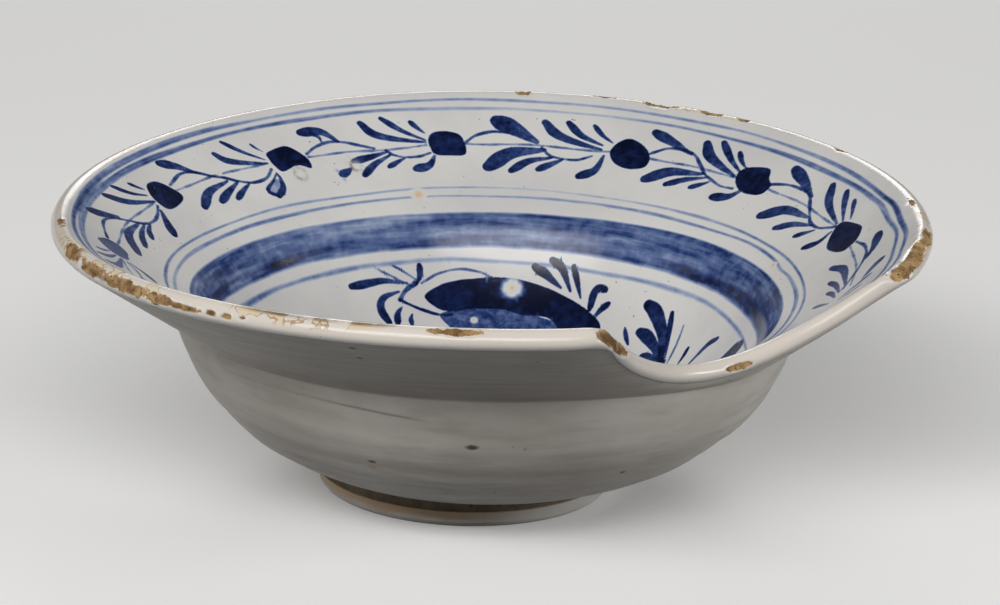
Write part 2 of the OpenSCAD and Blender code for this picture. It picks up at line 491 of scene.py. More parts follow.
# A smooth line through the places, with its points a step apart. A closed line goes on to its start.
def drawn_line(points, step=0.25, closed=False):
    points = np.array(points, float)
    if closed:
        ends = np.vstack([points[-1:], points, points[:2]])
        points = np.vstack([points, points[:1]])
    else:
        ends = np.vstack([2 * points[0] - points[1], points, 2 * points[-1] - points[-2]])
    pieces = []
    for before, start, stop, after in zip(ends, ends[1:], ends[2:], ends[3:]):
        share = np.linspace(0, 1, 12, endpoint=False)[:, None]
        pieces.append(0.5 * (2 * start + (stop - before) * share
                             + (2 * before - 5 * start + 4 * stop - after) * share ** 2
                             + (3 * start - before - 3 * stop + after) * share ** 3))
    line = np.vstack(pieces + [points[-1:]])
    length = np.concatenate([[0], np.cumsum(np.hypot(*np.diff(line, axis=0).T))])
    count = max(4, int(length[-1] / step) + 1)
    places = np.linspace(0, length[-1], count)
    return np.column_stack([np.interp(places, length, line[:, 0]), np.interp(places, length, line[:, 1])])


def raised(plan):
    return np.column_stack([plan, sheet_height(plan)])


def keep_stroke(line, half, load):
    strokes.append({"line": line, "half": np.maximum(half, 0.16), "load": np.broadcast_to(load, half.shape)})


# A drop is pressed down at its round tip and drawn out thin, a blade is pointed at both ends
def drop(width, *points, load=0.95):
    line = drawn_line(points)
    share = np.linspace(0, 1, len(line))
    swell = np.where(share < 0.22, 0.68 + 0.32 * np.sin(share / 0.22 * math.pi / 2),
                     1 - 0.75 * (np.maximum(share - 0.22, 0) / 0.78) ** 1.1)
    keep_stroke(line, width / 2 * swell, load - 0.2 * share)


def blade(width, *points, load=0.95):
    line = drawn_line(points)
    share = np.linspace(0, 1, len(line))
    swell = 0.2 + 0.8 * np.sin(math.pi * share ** 0.85) ** 0.8 * (share < 1) + 0.1 * share
    keep_stroke(line, width / 2 * np.clip(swell, 0, 1), load - 0.1 * (1 - share))


def stem(width, *points, load=0.62):
    line = drawn_line(points)
    sway = np.sin(np.arange(len(line)) * 0.15 + len(strokes))
    keep_stroke(line, width / 2 * (1 + 0.16 * sway), load + 0.06 * sway)


# Rings are drawn with a full brush while the bowl turns: a radius, a half width and a load at each turn.
# The brush ran thinner at the back. Bumps are places, in degrees, where it went round a spot or shook.
rings = []
broad_brush = 3.0


def ring(radius, width, load, wobble, seed, **changes):
    mark = dict.fromkeys(("shift", "thin_load", "thin_width", "right_load", "left_width", "right_width"), 0.0)
    mark.update(radius=radius, width=width, load=load, wobble=wobble, seed=seed, bumps=())
    rings.append({**mark, **changes})


def ring_at(mark, turn):
    seed = mark["seed"]
    sway = np.sin(3 * turn + seed) + 0.7 * np.sin(7 * turn + 2 * seed) + 0.5 * np.sin(16 * turn + 3 * seed)
    reach = mark["radius"] + mark["wobble"] * sway
    for bump_turn, rise, spread in mark["bumps"]:
        reach = reach + rise * np.exp(-((np.degrees(turn) - bump_turn) / spread) ** 2)
    press = 1 + 0.18 * np.sin(5 * turn + seed) + 0.1 * np.sin(13 * turn + seed)
    load = mark["load"] * (1 + 0.12 * np.sin(4 * turn + 2 * seed) + mark["right_load"] * np.sin(turn))
    if mark["width"] > broad_brush:
        press = np.ones_like(turn)
    at_back = np.exp(-((np.degrees(turn) - 8) / 40) ** 2)
    at_left = np.exp(-((np.degrees(turn) + 84) / 38) ** 2)
    at_right = np.maximum(np.sin(turn), 0)
    spread_out = mark["left_width"] * at_left + mark["right_width"] * at_right - mark["thin_width"] * at_back
    half = mark["width"] / 2 * press * (1 + spread_out)
    return reach, half, load * (1 - mark["thin_load"] * at_back)


# Blots are closed shapes filled with pigment: the outline is a smooth line through listed places
blots = []


def blot(points, load):
    blots.append({"line": drawn_line(points, 0.4, closed=True)[:-1], "load": load})


# Flowers of the border: drawn place by place, or round with uneven petals
full_load = 0.97


def bloom(places, load=full_load):
    blot(on_border(places), load)


def flower(turn, radius, wide, tall, load=full_load):
    spin = np.radians(np.arange(0, 360, 30))
    lobes = 1 + 0.06 * np.sin(3 * spin + turn) + 0.045 * np.sin(5 * spin + 2 * turn)
    across = wide / 2 * lobes * np.cos(spin)
    up = tall / 2 * lobes * np.sin(spin)
    bloom(np.column_stack([turn + np.degrees(across / radius), radius + up]), load)


# One spray of the border, from the flower before it to its own flower. Leaves are given as tip, bend
# and foot. The places are read along the border, turn by turn.
def spray(top, arch, stalk, lower, upper, hanging, turn=0):
    def at(places):
        return on_border([(turn + across, radius) for across, radius in places])
    stem(0.85, *at(stalk), load=0.42)
    stem(1.1, *at(arch), load=0.68)
    for width, *leaf in top + lower + upper + hanging:
        drop(1.3 * width, *at(leaf), load=0.88)


flower(-97.5, 110.5, 13, 9, load=0.74)
spray(top=[(3.2, (-87, 119), (-85.2, 116), (-82, 112))],
      arch=[(-94, 112.5), (-88, 114.5), (-84, 113), (-81, 109.5), (-78, 106), (-75, 104.8), (-72, 105.5),
            (-69.5, 107.5)],
      stalk=[(-94, 109.4), (-82, 109.3), (-69, 109)],
      lower=[(3.2, (-92, 103.5), (-86, 107.4), (-79.5, 107)),
             (2.1, (-86.5, 102.3), (-82.3, 104.6), (-78, 105.8)),
             (1.9, (-81.2, 102), (-79, 103.8), (-76.5, 104.8))],
      upper=[(2.4, (-78.3, 118.3), (-75, 113), (-69, 109)),
             (1.6, (-74.2, 118.8), (-72, 114.4), (-69.2, 111.5)),
             (1.3, (-70, 116.8), (-69.2, 115), (-68.2, 113.2))],
      hanging=[(3.0, (-74, 98.8), (-72.2, 102), (-70, 106))])
bloom([(-66.7, 113.9), (-64.4, 113.9), (-63, 111.9), (-61.7, 107.5), (-62.9, 105.5), (-67.2, 104.8),
       (-68.5, 106.8), (-68.3, 110.8)])
spray(top=[(3.0, (-59.8, 118), (-57.3, 115.6), (-54.5, 111.5))],
      arch=[(-62, 111), (-58, 112.8), (-55, 112), (-52, 109), (-50, 107.5), (-48, 105.5), (-45, 103.7),
            (-42, 104.2), (-40, 106.5)],
      stalk=[(-62, 109), (-51, 109), (-40, 108.7)],
      lower=[(2.7, (-59.5, 101.3), (-55.4, 104.9), (-50, 106.3)),
             (2.3, (-54.7, 101), (-51.6, 103), (-48, 105.2)),
             (1.8, (-50.8, 100.3), (-48.6, 102), (-46, 103.8))],
      upper=[(2.1, (-48.3, 115.3), (-46.6, 112), (-40, 108.5)),
             (1.4, (-45.5, 118.3), (-43, 113.7), (-40, 109.8)),
             (0.8, (-40.8, 115.5), (-40.3, 114), (-39.5, 112.5))],
      hanging=[(1.2, (-42, 97.8), (-43.4, 100.3), (-40.6, 103.4), (-39.5, 105)),
               (1.9, (-42, 97.8), (-40.1, 100), (-39.4, 103), (-39.5, 105))])
bloom([(-42, 98.2), (-43, 100.3), (-40.8, 103), (-39.5, 102.6), (-40.2, 100)], 0.36)
bloom([(-38.9, 111.8), (-35.4, 112.9), (-33.7, 111.1), (-32.3, 107.6), (-32.4, 104.6), (-33.8, 105.7),
       (-35.2, 106.2), (-38.1, 105.1), (-39, 107.6), (-39.2, 109.8)])
spray(top=[(3.0, (-31.3, 116.3), (-28, 115.7), (-25.6, 111.8)),
           (1.2, (-29.6, 115.6), (-28.6, 114), (-28.5, 112))],
      arch=[(-32, 109.3), (-30, 111), (-27.5, 112), (-25, 111.5), (-22.5, 110), (-20, 108.5)],
      stalk=[(-32, 108.2), (-25, 108.2), (-18, 107.7), (-11, 108.6)],
      lower=[(2.6, (-27.4, 101.2), (-26.4, 101.8), (-25.2, 102.8)),
             (2.2, (-24.2, 105.0), (-21.5, 105.7), (-18, 107)),
             (2.1, (-23.2, 100.2), (-20.8, 103.3), (-17.5, 106)),
             (1.6, (-18.2, 102.2), (-16.8, 103.4), (-15, 104.7))],
      upper=[(2.3, (-21, 117), (-18.8, 112.6), (-11, 109.5)),
             (1.7, (-17.5, 118), (-14.6, 113.6), (-11, 110.2)),
             (1.5, (-13, 116.3), (-12, 114.2), (-11, 112.5))],
      hanging=[(2.7, (-13.4, 101.1), (-11, 102), (-9.8, 105))])
stem(0.9, *on_border([(-18, 107.6), (-17, 106), (-15, 105), (-12.5, 105), (-10.5, 106)]))
bloom([(-10.5, 110.4), (-9.5, 112.6), (-7, 112.8), (-5, 111.1), (-4.4, 105.6), (-7.4, 105.1), (-9.6, 105.5),
       (-10.3, 107.6)])
spray(top=[(4.9, (0.7, 116.4), (3.3, 114.2), (7.5, 110))],
      arch=[(-4.5, 109), (-2.6, 111.5), (0, 112.8), (2.5, 112.6)],
      stalk=[(-4.5, 108.8), (7, 109), (20, 109.1)],
      lower=[(4.4, (-0.4, 101.5), (3.4, 106), (9, 107.6)), (2.4, (3.7, 100.4), (6.6, 103.7), (10.5, 105.3)),
             (2.2, (8.5, 101.3), (10.4, 103), (12.5, 105))],
      upper=[(2.6, (8.3, 116.6), (11, 112.5), (18.5, 109.4)), (2.0, (12, 117), (14.5, 113.3), (18.5, 110.8)),
             (1.4, (16.2, 116.8), (17.8, 114.2), (20, 112))],
      hanging=[(2.7, (16.1, 100.2), (18.6, 102.6), (19.3, 107.5))])
stem(0.9, *on_border([(8.5, 108.4), (10, 106), (12.5, 105.2), (15, 105.3), (17.3, 107)]))
bloom([(20.2, 108.6), (20.7, 111.9), (22.5, 114), (25.1, 112.7), (27.1, 109.6), (27.2, 106), (24.4, 104.5),
       (21.7, 105.6)])
spray(top=[(2.9, (26.2, 117.3), (30, 115), (34, 112.6))],
      arch=[(27.2, 110.6), (30, 113.2), (34, 113), (36.6, 110), (38.5, 107.5)],
      stalk=[(27.5, 108.8), (36, 109), (44.5, 109)],
      lower=[(3.4, (28.3, 102.2), (32.3, 105.9), (38, 107.3)),
             (2.0, (32.6, 101.8), (35.8, 104.5), (39.5, 106.8)),
             (1.7, (37.5, 102.5), (39, 104), (40.3, 105.5))],
      upper=[(2.9, (35.4, 117), (37.6, 113), (44, 109.3)), (2.0, (38, 118.5), (41, 114.2), (44.6, 110.8)),
             (1.5, (41.8, 116.7), (43.2, 114.4), (45, 112.5))],
      hanging=[(2.8, (43, 101.4), (46, 102.8), (47.6, 106))])
stem(0.9, *on_border([(38, 107.8), (41, 106), (43, 105.2), (45.5, 105.5)]))
bloom([(45, 107.8), (44.3, 111.2), (45.7, 113.3), (49.1, 114.6), (50.6, 111.8), (52.1, 109.9), (51.6, 106.4),
       (47.8, 105.4)])
spray(top=[(3.4, (53.6, 117.2), (57.6, 114.7), (62, 111.8))],
      arch=[(52, 110.5), (55, 112), (58, 112.5), (61, 112), (63.5, 109.5), (66, 107), (68, 105.5),
            (71, 105.5), (73, 107), (74.5, 108.5)],
      stalk=[(52, 108.8), (62, 108.9), (75, 109)],
      lower=[(3.6, (55.9, 100.9), (60, 105.2), (66, 106.3)), (2.4, (61.8, 99.4), (64.9, 102.7), (69, 105)),
             (1.9, (68.3, 100.2), (69.7, 102.3), (71, 104.5))],
      upper=[(2.5, (63.3, 117.5), (67, 112.4), (74, 109.5)), (1.9, (67.3, 118), (70.8, 114), (74.5, 111)),
             (1.4, (71, 117.2), (73.2, 115), (75.5, 112.8))],
      hanging=[(2.5, (74, 99.3), (75.6, 102.6), (75.2, 107))])
bloom([(74.8, 108.8), (75.1, 111.3), (79.6, 113.5), (81.8, 112.7), (84, 110.2), (84.7, 106.1), (80.2, 103.4),
       (76.9, 105.6)])
spray(top=[(2.9, (86.6, 116.4), (90.6, 114.5), (94, 112)), (2.6, (98.6, 117), (100.8, 114.8), (104, 112.8))],
      arch=[(84.5, 110.5), (88, 112), (92, 112), (96, 110.3), (100, 108.4), (104, 107)],
      stalk=[(85, 108.6), (95, 109.2), (104, 109.4)],
      lower=[(2.5, (89, 102.4), (93.4, 105.6), (102, 107.3)), (1.7, (95.6, 101.6), (99.4, 104), (105, 106.5)),
             (1.6, (101, 102), (103.6, 104), (107, 106)), (1.9, (106, 99.8), (107.6, 102.4), (109.5, 105.4))],
      upper=[(1.6, (104, 115), (106.2, 112), (110, 108.6)), (1.2, (108, 114), (109.4, 111.6), (111.4, 109))],
      hanging=[])
# At the hidden front the border repeats the sprays and flowers in sight
hidden_spray = {
    "top": [(3.1, (-22.5, 117.6), (-19.6, 115), (-16, 111.4))],
    "arch": [(-27, 110.5), (-22, 112.8), (-18, 112), (-14.5, 108.4), (-11, 105.4), (-7, 105.2), (-4, 107.4)],
    "stalk": [(-27, 109), (-14, 109), (-4, 109)],
    "lower": [(3.1, (-25.2, 102), (-20, 106), (-13, 106.6)), (2.2, (-19, 101), (-16, 103.6), (-11.6, 105.5)),
              (1.9, (-13.6, 101.4), (-11.8, 103), (-9.4, 104.8))],
    "upper": [(2.4, (-14, 117.3), (-11.6, 112.8), (-4.4, 109.4)),
              (1.8, (-10.4, 118.2), (-7.8, 114), (-4, 110.8)),
              (1.4, (-6.4, 116.8), (-5.2, 114.6), (-3.4, 112.4))],
    "hanging": [(2.7, (-6.6, 100.2), (-4.6, 102.6), (-3.6, 106.4))]}
for hidden_turn in (-190.5, -159.5, -128.5):
    flower(hidden_turn, 109.4, 13.2, 9.4)
    spray(**hidden_spray, turn=hidden_turn + 31)

# Rings on the flange, the broad band at the shoulder and the line under it
shakes_outside = [(-96, -0.8, 22), (80, 0.35, 2.5), (87, -0.35, 2.5), (94, 0.35, 2.5), (101, -0.3, 2.5)]
shakes_inside = [(77, 0.3, 2.5), (84, -0.35, 2.5), (91, 0.35, 2.5), (98, -0.3, 2.5)]
ring(123.0, 1.3, 0.56, 0.16, 1.0, thin_load=0.52, thin_width=0.35, left_width=0.4, bumps=shakes_outside)
ring(120.3, 1.4, 0.54, 0.16, 2.3, thin_load=0.48, thin_width=0.35, left_width=0.45, bumps=shakes_inside)
ring(94.8, 0.8, 0.48, 0.1, 4.1, shift=-0.6, thin_load=0.6, thin_width=0.2,
     bumps=[(-58, -1.25, 16), (-30, -0.9, 16)])
ring(92.1, 1.0, 0.42, 0.1, 5.7, shift=-0.6, thin_load=0.2, thin_width=0.25, right_load=0.1, left_width=0.25,
     bumps=[(-60, -1.2, 24), (-33, -0.6, 14), (63, 0.7, 10), (76, -0.6, 3), (94, 0.7, 10)])
ring(79.0, 0.65, 0.46, 0.1, 3.4, thin_load=0.25, left_width=0.9,
     bumps=[(-62, -0.3, 20), (-12, 0.4, 14), (86, -1.1, 22)])
band_bumps = [(-92, 0.6, 18), (45, 0.45, 22), (95, 0.35, 20)]
ring(84.2, 5.8, 0.6, 0.05, 0.4, thin_load=0.12, right_load=0.12, left_width=0.1, right_width=0.26,
     bumps=band_bumps)
ring(82.0, 1.6, 0.55, 0.1, 2.9, thin_load=0.5, thin_width=0.25, right_load=0.12, bumps=band_bumps[:1])

# The fruit on the floor of the well, dark above and mottled below, between sprays of leaves
blot([(-14.5, 66.2), (-10, 68), (-4, 69.4), (4, 69.4), (12, 67.5), (22, 63), (24, 56), (22, 48), (14, 42),
      (4, 40), (-3, 44), (-7, 52), (-8.5, 58), (-10.5, 62.5)], 0.68)
blot([(-19.4, 69.9), (-14.8, 73.2), (-10, 74.8), (-5.5, 75.6), (2.3, 76.2), (10.2, 75.3), (18.1, 72.7),
      (24, 69.5), (29.1, 65.9), (33, 62), (35.4, 58), (34, 52), (30, 46), (24, 50), (22.5, 58), (21.8, 62.5),
      (18.3, 65.6), (10.5, 67.4), (4.2, 69.2), (-5, 69), (-9, 68), (-12.9, 67.6), (-16, 68)], 1.0)
stem(0.8, (-20.5, 72.4), (-18, 74), (-14.9, 75.6), (-8.7, 77.2), (-2.4, 77.1), (1.4, 76.1))
drop(3.3, (14.8, 77.2), (18.5, 75), (23, 71.5), load=1.05)
drop(3.0, (20.2, 77.3), (23.4, 75), (26, 70), load=1.05)
drop(2.2, (26.9, 74.6), (28, 71.5), (29.2, 67.5), load=1.05)
blot([(31.4, 64.2), (31.8, 66.9), (32.7, 68.2), (34.2, 68.6), (36, 68), (37.6, 66.7), (37.5, 65.7),
      (36, 66.2), (34.7, 66.7), (34, 65.7), (33.3, 64.4), (32.2, 63.3)], 0.93)
drop(2.4, (37.8, 62.9), (35.6, 62.4), (33, 61))
drop(2.9, (-42.2, 63.3), (-36.5, 66.9), (-31.9, 69.3), (-25, 71.2))
stem(0.7, (-35.1, 70.5), (-29.5, 71), (-23.5, 71))
stem(0.7, (-29.9, 73.1), (-26.1, 73.1), (-22.6, 72.7))
drop(2.2, (-21.5, 75.6), (-21.1, 73.9), (-22.2, 71.6))
stem(1.6, (-22.6, 71.8), (-25.6, 69.2), (-27, 66.8), load=0.75)
stem(1.0, (-27, 66.8), (-20.7, 66.4), (-14.4, 66.2), (-11, 66.8), load=0.85)
drop(2.9, (-30.1, 59.8), (-32.4, 61.7), (-32.9, 63.9), (-31.4, 66.1), (-27.4, 68.6))
drop(2.4, (-27.4, 60.5), (-27.5, 63.2), (-26.3, 65.2))
drop(1.8, (-23, 61.6), (-23.4, 63.2), (-23, 64.4))
drop(5.0, (50, 56), (52.1, 52.7), (53.9, 46.7), (54.5, 40.4), (53.6, 34))
drop(4.4, (47.5, 50), (49.4, 47.4), (52.1, 41.2), (53.6, 34))
drop(3.8, (48.4, 40.9), (50.6, 38.1), (53.6, 34))
stem(2.6, (54, 39.5), (53.6, 33), load=0.95)
drop(2.1, (57.2, 48.5), (56.3, 43.1), (55.1, 35))
blade(0.9, (60.7, 41.7), (58.7, 37.5), (55.6, 32), load=0.62)
drop(1.5, (61.9, 32.2), (60.7, 30.6), (58.6, 28.4))
drop(2.2, (70.4, 24.9), (67.1, 26.5), (61.6, 25), load=0.88)
drop(6.2, (76.4, 8.8), (74.4, 10.2), (71.5, 11.6), (67, 13), load=1.0)
blade(1.5, (43, 54.1), (43.3, 51.1), (44, 47.8))
# The front of the floor, where the same sprays are taken to go on round the fruit
stem(1.2, (8, 35.5), (6, 26), (0, 16), (-10, 6), (-22, 0), load=0.8)
stem(1.1, (55, 34), (50, 22), (40, 10), (26, 2), (10, 6), (3, 20), load=0.8)
stem(1.1, (-43, 44), (-46, 36), (-44, 18), (-34, 4), (-22, 0), load=0.8)
for foot_x, foot_y, lean_x, lean_y in [(-46, 36, -13, 5), (-45, 22, -15, 0), (-39, 9, -12, -9),
                                       (-24, 0, -6, -15), (-8, 8, 6, -15), (24, 2, -4, -15), (38, 8, 7, -14),
                                       (49, 20, 14, -7), (-46, 44, 10, -7), (-43, 17, 12, 4),
                                       (44, 14, -10, 8), (3, 21, 11, 5)]:
    for bend, reach, width in [(-0.45, 0.78, 2.2), (0.0, 1.0, 3.0), (0.45, 0.8, 2.3)]:
        tip_x = foot_x + reach * (lean_x * math.cos(bend) - lean_y * math.sin(bend))
        tip_y = foot_y + reach * (lean_x * math.sin(bend) + lean_y * math.cos(bend))
        bow_x = (foot_x + tip_x) / 2 + 0.1 * lean_y
        bow_y = (foot_y + tip_y) / 2 - 0.1 * lean_x
        drop(width, (tip_x, tip_y), (bow_x, bow_y), (foot_x, foot_y))
flower_turns = np.radians(np.arange(0, 360, 30))
for flower_x, flower_y, flower_size in [(-22, -2, 6.5), (26, 0, 5.5)]:
    blot([(flower_x + flower_size * math.cos(turn), flower_y + 0.85 * flower_size * math.sin(turn))
          for turn in flower_turns], 1.0)

# Spots left by the kiln: x, y, radius of the pale halo and radius of the rusty middle. Then burst bubbles
# whose rims have burnt: x, y and radius.
kiln_spots = [(*on_border([(-14, 92.8)])[0], 3.4, 1.4), (*on_border([(72.3, 90.7)])[0], 2.0, 0.6),
              (*on_border([(-50.3, 109.5)])[0], 1.6, 0.0), (7.8, 73.8, 4.4, 0.6), (-3.8, 66.1, 1.6, 0.0)]
burnt_spots = [(*on_border([(-35, 103.4)])[0], 2.4), (*on_border([(-24.1, 103.6)])[0], 2.2)]


# The ways ahead and to the side along a line of places, on the surface
def surface_ways(line):
    ahead = np.gradient(raised(line), axis=0)
    ahead = ahead / np.linalg.norm(ahead, axis=1, keepdims=True)
    rise_x = (sheet_height(line + (0.1, 0)) - sheet_height(line - (0.1, 0))) / 0.2
    rise_y = (sheet_height(line + (0, 0.1)) - sheet_height(line - (0, 0.1))) / 0.2
    side = np.cross(np.column_stack([-rise_x, -rise_y, np.ones(len(line))]), ahead)
    return ahead, side / np.linalg.norm(side, axis=1, keepdims=True)


# Mesh points on both sides of every outline, so that the pigment ends where the brush did. Where a
# stroke widens, its edge leans back.
def outline_points():
    points = []
    for mark in strokes:
        line, half = mark["line"], mark["half"]
        ahead, side = surface_ways(line)
        pace = np.linalg.norm(np.gradient(raised(line), axis=0), axis=1)
        edge_lean = np.clip(np.gradient(half) / pace, -0.8, 0.8)[:, None]
        picked = np.unique(np.append(np.arange(0, len(line), 3), len(line) - 1))
        for reach in (half + bleed_out, np.maximum(half - bleed_in, 0)):
            for sign in (1, -1):
                way = sign * np.sqrt(1 - edge_lean ** 2) * side - edge_lean * ahead
                points.append((line + way[:, :2] * reach[:, None])[picked])
            for end, sign in ((0, -1), (-1, 1)):
                for turn in np.radians(np.arange(-75, 76, 25)):
                    way = sign * math.cos(turn) * ahead[end] + math.sin(turn) * side[end]
                    points.append((line[end] + way[:2] * reach[end])[None])
        points.append(line[picked][half[picked] > 1.1])
    for mark in rings:
        turn = np.radians(np.arange(-180, 180, 0.5))
        reach, half, _ = ring_at(mark, turn)
        inner = np.maximum(half - ring_bleed, 0)
        for offset in (half + ring_bleed, inner, -inner, -half - ring_bleed):
            points.append(np.column_stack([mark["shift"] + (reach + offset) * np.sin(turn),
                                           (reach + offset) * np.cos(turn)]))
    for mark in blots:
        side = surface_ways(mark["line"])[1]
        for offset in (bleed_out, -bleed_in, 2.0, -2.0):
            points.append((mark["line"] + offset * side[:, :2])[::2])
    for x, y, halo, *_ in kiln_spots + burnt_spots:
        for share in (0.0, 0.2, 0.4, 0.6, 0.8, 1.0, 1.2):
            turn = np.arange(12) * math.pi / 6 + share
            points.append(np.column_stack([x + halo * share * np.cos(turn), y + halo * share * np.sin(turn)]))
    return np.vstack(points)


# Points that fill the sheet between the outlines, closer on the steep wall
fill_step = 2.4
wall_step = 1.3
wall_zone = (66, 92)
flange_end = 127


def filling_points():
    radii = np.concatenate([np.arange(fill_step, wall_zone[0], fill_step), np.arange(*wall_zone, wall_step),
                            np.arange(wall_zone[1], flange_end, fill_step)])
    points = [np.zeros((1, 2))]
    for number, radius in enumerate(radii):
        count = max(8, int(2 * math.pi * radius / fill_step))
        turn = (np.arange(count) + 0.5 * (number % 2)) * 2 * math.pi / count
        points.append(radius * np.column_stack([np.cos(turn), np.sin(turn)]))
    return np.vstack(points)


def cell_of(x, y, size):
    return int(x // size), int(y // size)


def cells_near(x, y, size):
    column, row = cell_of(x, y, size)
    return [(column + i, row + j) for i in (-1, 0, 1) for j in (-1, 0, 1)]


# Points that crowd each other are thinned, the ones listed first are kept
def thinned(points, gap):
    cells = {}
    kept = []
    for index, (x, y) in enumerate(points):
        near = [points[other] for cell in cells_near(x, y, gap) for other in cells.get(cell, ())]
        if all((p - x) ** 2 + (q - y) ** 2 > gap * gap for p, q in near):
            cells.setdefault(cell_of(x, y, gap), []).append(index)
            kept.append(index)
    return points[kept]


mark_gap = 0.17
mark_margin = 0.3
fill_gap = 0.9
fill_margin = 1.0
fill_cell = 1.1
marked = outline_points()
marked = thinned(marked[within_sheet(marked, mark_margin)], mark_gap)
filled = filling_points()
filled = filled[within_sheet(filled, fill_margin)]
near_marks = {}
for x, y in marked:
    near_marks.setdefault(cell_of(x, y, fill_cell), []).append((x, y))


def clear_of_marks(x, y):
    return all((x - p) ** 2 + (y - q) ** 2 > fill_gap * fill_gap
               for cell in cells_near(x, y, fill_cell) for p, q in near_marks.get(cell, ()))


filled = np.array([point for point in filled if clear_of_marks(*point)])
sheet_points = np.vstack([sheet_edge, marked, filled])
cut = delaunay_2d_cdt([Vector(point) for point in sheet_points], [], [list(range(columns))], 1, 1e-6)
sheet_plan = np.array([tuple(point) for point in cut[0]])
sheet_faces = [tuple(face) for face in cut[2]]


def inside_outline(points, line):
    crossings = np.zeros(len(points), int)
    for (x0, y0), (x1, y1) in zip(line, np.roll(line, -1, axis=0)):
        if y0 != y1:
            spans = (points[:, 1] >= min(y0, y1)) & (points[:, 1] < max(y0, y1))
            crossings += spans & (points[:, 0] < x0 + (points[:, 1] - y0) * (x1 - x0) / (y1 - y0))
    return crossings % 2 == 1


# How much pigment lies at each place: strokes lie over each other, and a soft edge is half loaded
def pigment_at(plan):
    unbrushed = np.ones(len(plan))
    unturned = np.ones(len(plan))
    space = raised(plan)
    for mark in strokes:
        line, half, load = mark["line"], mark["half"], mark["load"]
        line_space = raised(line)
        reach = half.max() + 1
        near = np.flatnonzero(np.all((plan > line.min(0) - reach) & (plan < line.max(0) + reach), axis=1))
        for group in np.array_split(near, 1 + len(near) // 4000):
            gap = np.linalg.norm(space[group, None] - line_space[None], axis=2)
            closest = np.argmin(gap - half, axis=1)
            inside = half[closest] - gap[np.arange(len(group)), closest]
            unbrushed[group] *= 1 - smooth(-bleed_out, bleed_in, inside) * np.clip(load[closest], 0, 1)
    for mark in rings:
        across = plan[:, 0] - mark["shift"]
        reach, half, load = ring_at(mark, np.arctan2(across, plan[:, 1]))
        inside = half - np.abs(np.hypot(across, plan[:, 1]) - reach)
        unturned *= 1 - smooth(-ring_bleed, ring_bleed, inside) * np.clip(load, 0, 1)
    for mark in blots:
        line = mark["line"]
        near = np.flatnonzero(np.all((plan > line.min(0) - 1) & (plan < line.max(0) + 1), axis=1))
        gap = np.min(np.linalg.norm(space[near, None] - raised(line)[None], axis=2), axis=1)
        inside = np.where(inside_outline(plan[near], line), gap, -gap)
        unbrushed[near] *= 1 - smooth(-bleed_out, bleed_in, inside) * mark["load"]
    return 1 - unbrushed, 1 - unturned


# The sheet, the rows over the lip to its underside, and the hidden back of the coat
sheet_vertices = np.column_stack([sheet_plan, sheet_height(sheet_plan)])
lip_rows = []
lip_spread = []
for turn in lip_turns:
    lip_rows.append(lip_row(along_edge, turn, 0))
    lip_spread.append(lip_top[:, :2] + (lip_radius(along_edge) * turn)[:, None] * lip_out)
back_under = lip_row(along_edge, 0, lip_back)
back_rows = [lip_row(along_edge, math.radians(turn), lip_back) for turn in (180, 135, 90, 45, 0)]
back_rows += flange_rows(along_edge, back_under, flange_inner, [0.9, 0.5, 0], coat)
back_radii = floor_flat + well_round * np.sin(np.radians(np.arange(63, -1, -9)))
back_rows += well_rows(along_edge, back_radii, coat)
back_pole = np.array([[0, 0, floor_height - coat]])

# Over the lip the pigment thins out within two rows
lip_fade = np.zeros((len(lip_rows), 1))
lip_fade[:2, 0] = 0.5, 0.1
brushed, turned = [np.concatenate([pigment, (lip_fade * pigment[:columns]).ravel()])
                   for pigment in pigment_at(sheet_plan)]


# How far along the edge a place on the rim lies, from its angle clockwise from the back
def on_rim(turn):
    bearing = math.radians(90 - turn) - notch_heading
    return rim_start + rim_radius * (bearing % (2 * math.pi) - right_rim)


def round_rim(patches):
    return [(on_rim(turn), *patch) for turn, *patch in patches]


# Chips of the lip, where the glaze has broken off the clay: distance along the edge, half length, turn
# over the lip from its inner side, half turn, depth, firmness and slant in degrees a millimetre. A chip
# of little firmness is broken up by patches of glaze, and a very firm one has a clean outline. Stains and
# dirt are given in the same way, without a depth. Round the rim, an angle stands for the distance.
cut_corner = edge_length - 54.4
chips = round_rim([
    (106, 13.0, 52, 58, 0.9, 1.6, 0.0), (97, 8.0, 78, 36, 0.7, 0.6, 0.0), (83, 5.0, 14, 26, 0.2, 0.3, 0.0),
    (-177, 8.4, 64, 24, 0.5, 0.8, 0.0), (-112.5, 7.0, 76, 46, 0.4, 0.5, 0.0),
    (-120, 11.0, 98, 36, 0.4, 0.45, 1.0), (-128, 13.0, 108, 36, 0.4, 0.45, 0.6),
    (-134, 9.0, 110, 34, 0.4, 0.4, 0.4), (-140, 7.0, 118, 18, 0.4, 0.5, 0.4),
    (-144.5, 1.5, 114, 13, 0.4, 1.0, 0.0), (-146.9, 1.7, 116, 13, 0.4, 1.0, 0.0),
    (-149.2, 1.1, 108, 11, 0.4, 1.0, 0.0), (-99, 6.0, 44, 26, 0.2, 0.2, 0.0),
    (3.8, 2.6, 30, 36, 0.5, 0.8, 0.0), (24.5, 6.4, 40, 42, 0.9, 0.8, 0.0), (32.5, 5.0, 36, 30, 0.6, 0.7, 0.0),
    (38, 3.0, 36, 24, 0.4, 0.6, 0.0), (16, 4.0, 40, 16, 0.3, 0.4, 0.0), (57, 3.2, 44, 24, 0.4, 0.6, 0.0),
    (-56, 2.4, 70, 20, 0.4, 0.5, 0.0)])
chips += [(cut_corner, 10.2, 84, 70, 1.0, 2.6, 0.0), (10.5, 4.8, 119, 24, 0.5, 1.6, 1.0),
          (62.5, 6.0, 62, 62, 1.0, 1.0, 0.0)]
